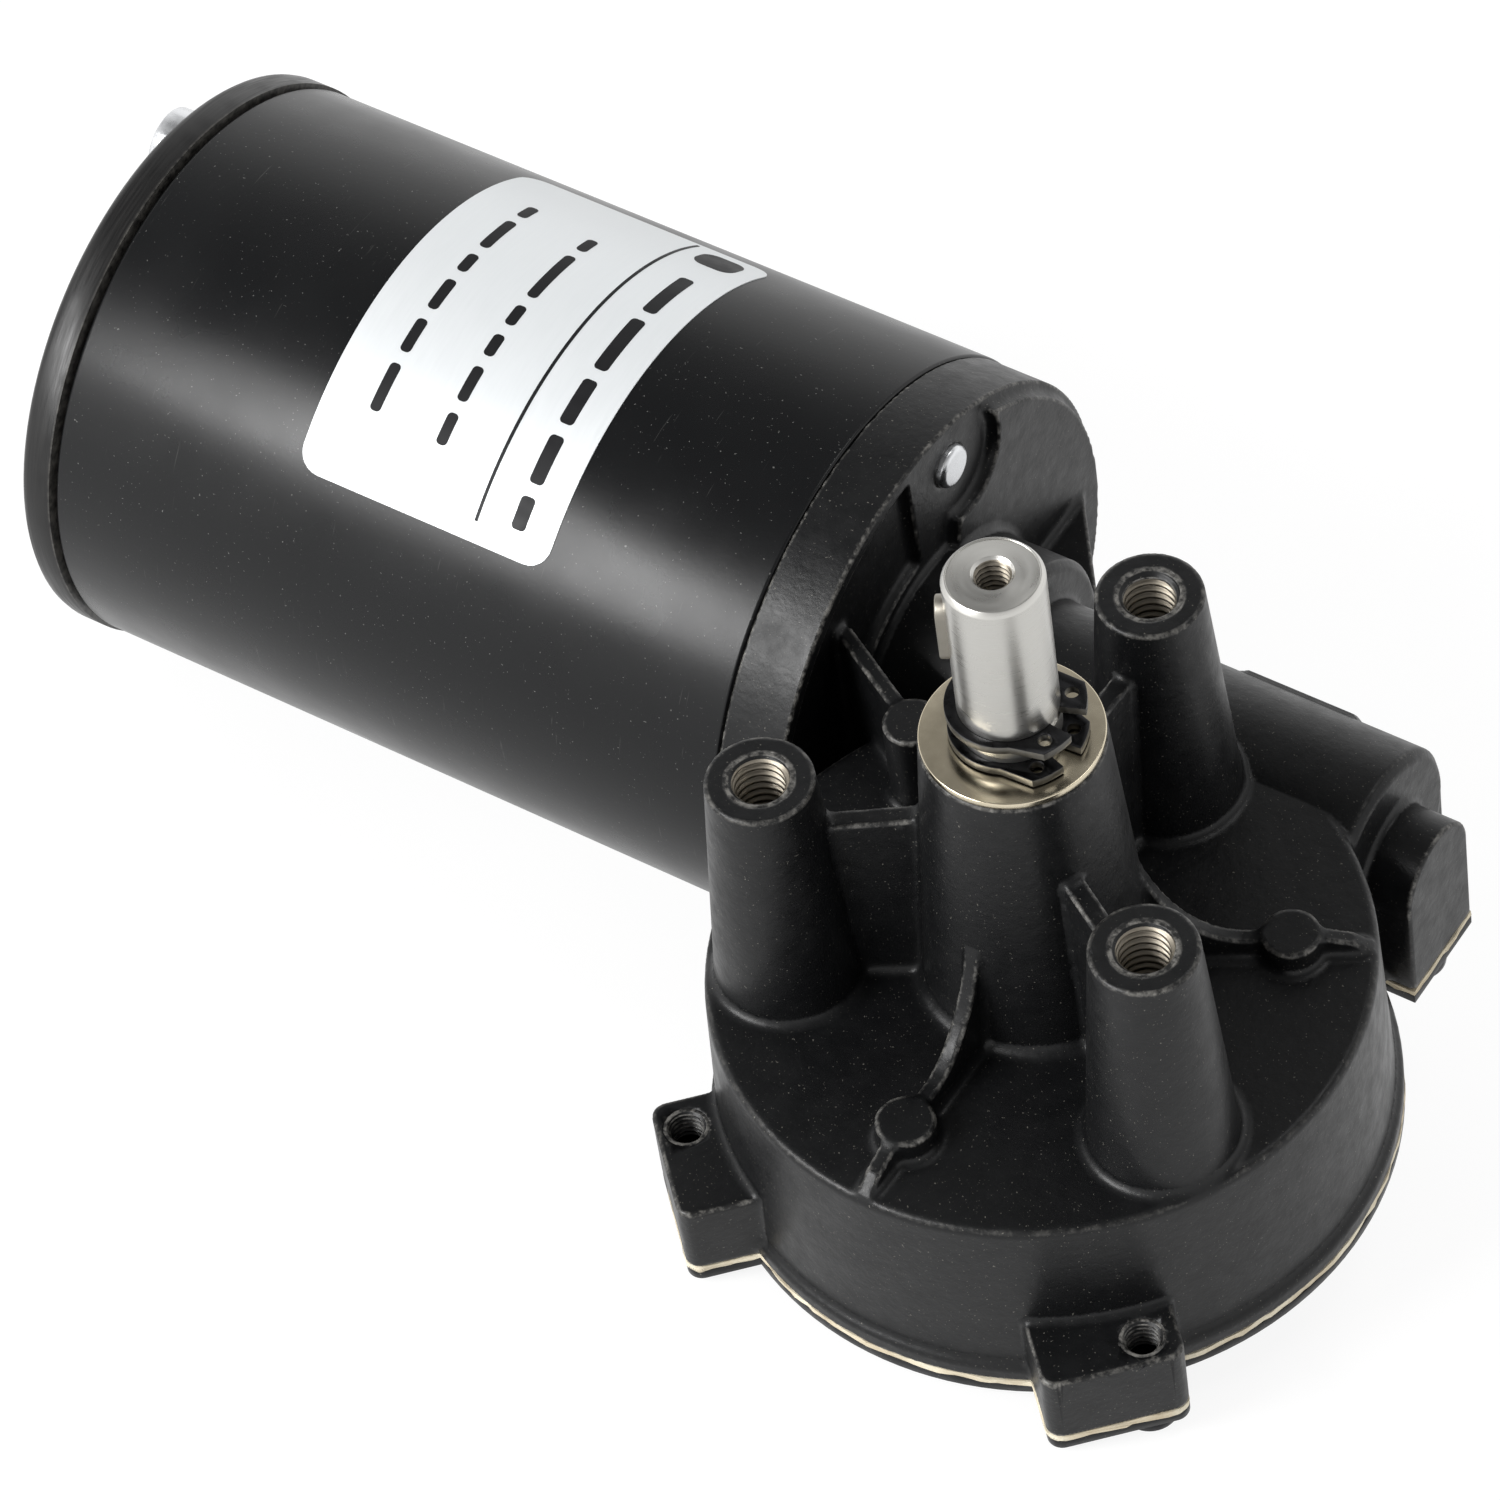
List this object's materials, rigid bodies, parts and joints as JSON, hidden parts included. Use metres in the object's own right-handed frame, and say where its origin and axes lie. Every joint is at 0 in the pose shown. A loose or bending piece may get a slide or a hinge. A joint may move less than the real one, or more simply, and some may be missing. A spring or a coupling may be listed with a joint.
{
  "type": "worm gear motor",
  "caption": "Black DC worm gear motor: a round motor tube drives a right-angle die-cast gearcase with a keyed output shaft and threaded mounting bosses.",
  "frame": {"origin": "where the output shaft axis crosses the plane of the three mounting boss faces", "axes": "+Z out along the output shaft; the motor lies along -X, and the worm and motor axis is parallel to X at +Y"},
  "size_m": [0.1675, 0.1016, 0.1018],
  "materials": {
    "cast_black": "satin black coat on a die casting",
    "tube_black": "satin black paint",
    "cap_black": "satin black paint over turned metal",
    "gasket_paper": "cream joint paper",
    "zinc_steel": "zinc plated",
    "shaft_steel": "turned and ground",
    "key_steel": "drawn key steel",
    "nickel_washer": "polished nickel plate",
    "clip_black": "phosphated spring steel",
    "bronze": "sintered bronze",
    "black_rubber": "moulded rubber",
    "bearing_steel": "ground bearing steel",
    "cage_steel": "ball bearing balls and cage",
    "ferrite": "sintered ferrite",
    "phenolic": "laminated phenolic",
    "brass_sheet": "folded brass sheet",
    "carbon": "carbon graphite",
    "spring_steel": "spring wire",
    "copper": "enamelled copper",
    "film_capacitor": "film capacitor case",
    "lamination_steel": "stacked laminations",
    "insulation_red": "insulating card",
    "nylon": "moulded nylon",
    "acetal": "machined acetal",
    "label_foil": "silver foil label"
  },
  "bodies": {
    "gearcase_and_motor_shell": {"gear_housing": "cast_black", "cover_gasket": "gasket_paper", "cover_plate": "cast_black", "cover_screws": "clip_black", "motor_tube": "tube_black", "rear_end_cap": "cap_black", "tie_bolts": "zinc_steel", "magnets": "ferrite", "brush_plate": "phenolic", "brush_plate_screws": "zinc_steel", "brush_holders": "brass_sheet", "carbon_brushes": "carbon", "brush_springs": "spring_steel", "suppressor_chokes": "copper", "suppressor_capacitor": "film_capacitor", "lead_grommet": "black_rubber", "rear_wave_washer": "spring_steel", "rear_bearing_outer_ring": "bearing_steel", "front_bearing_outer_ring": "bearing_steel", "worm_end_bush": "bronze", "worm_thrust_button": "acetal", "upper_shaft_bush": "bronze", "lower_shaft_bush": "bronze", "shaft_seal": "black_rubber", "wheel_thrust_washer": "bearing_steel", "face_washer": "nickel_washer", "rating_label": "label_foil"},
    "output_train": {"output_shaft": "shaft_steel", "output_key": "key_steel", "retaining_ring": "clip_black", "washer_ring": "clip_black", "wheel_hub": "brass_sheet", "worm_wheel": "nylon", "wheel_retaining_ring": "clip_black"},
    "armature": {"armature_shaft": "shaft_steel", "worm": "shaft_steel", "armature_core": "lamination_steel", "core_insulators": "insulation_red", "armature_windings": "copper", "commutator_segments": "copper", "commutator_hub": "phenolic", "rear_bearing_inner_ring": "bearing_steel", "front_bearing_inner_ring": "bearing_steel"},
    "rear_ball_cage": {"rear_bearing_balls": "cage_steel"},
    "front_ball_cage": {"front_bearing_balls": "cage_steel"}
  },
  "joints": [
    {"name": "armature_spin", "type": "hinge", "parent": "gearcase_and_motor_shell", "child": "armature", "pos_m": [0, 0.034, -0.04], "axis": [1, 0, 0], "continuous": true},
    {"name": "output_spin", "type": "hinge", "parent": "gearcase_and_motor_shell", "child": "output_train", "pos_m": [0, 0, 0], "axis": [0, 0, 1], "continuous": true},
    {"name": "rear_cage_spin", "type": "hinge", "parent": "gearcase_and_motor_shell", "child": "rear_ball_cage", "pos_m": [-0.1226, 0.034, -0.04], "axis": [1, 0, 0], "continuous": true},
    {"name": "front_cage_spin", "type": "hinge", "parent": "gearcase_and_motor_shell", "child": "front_ball_cage", "pos_m": [-0.032, 0.034, -0.04], "axis": [1, 0, 0], "continuous": true}
  ],
  "couplings": [
    {"joint": "output_spin", "follows": "armature_spin", "ratio": 0.02},
    {"joint": "rear_cage_spin", "follows": "armature_spin", "ratio": 0.36767},
    {"joint": "front_cage_spin", "follows": "armature_spin", "ratio": 0.36767}
  ]
}
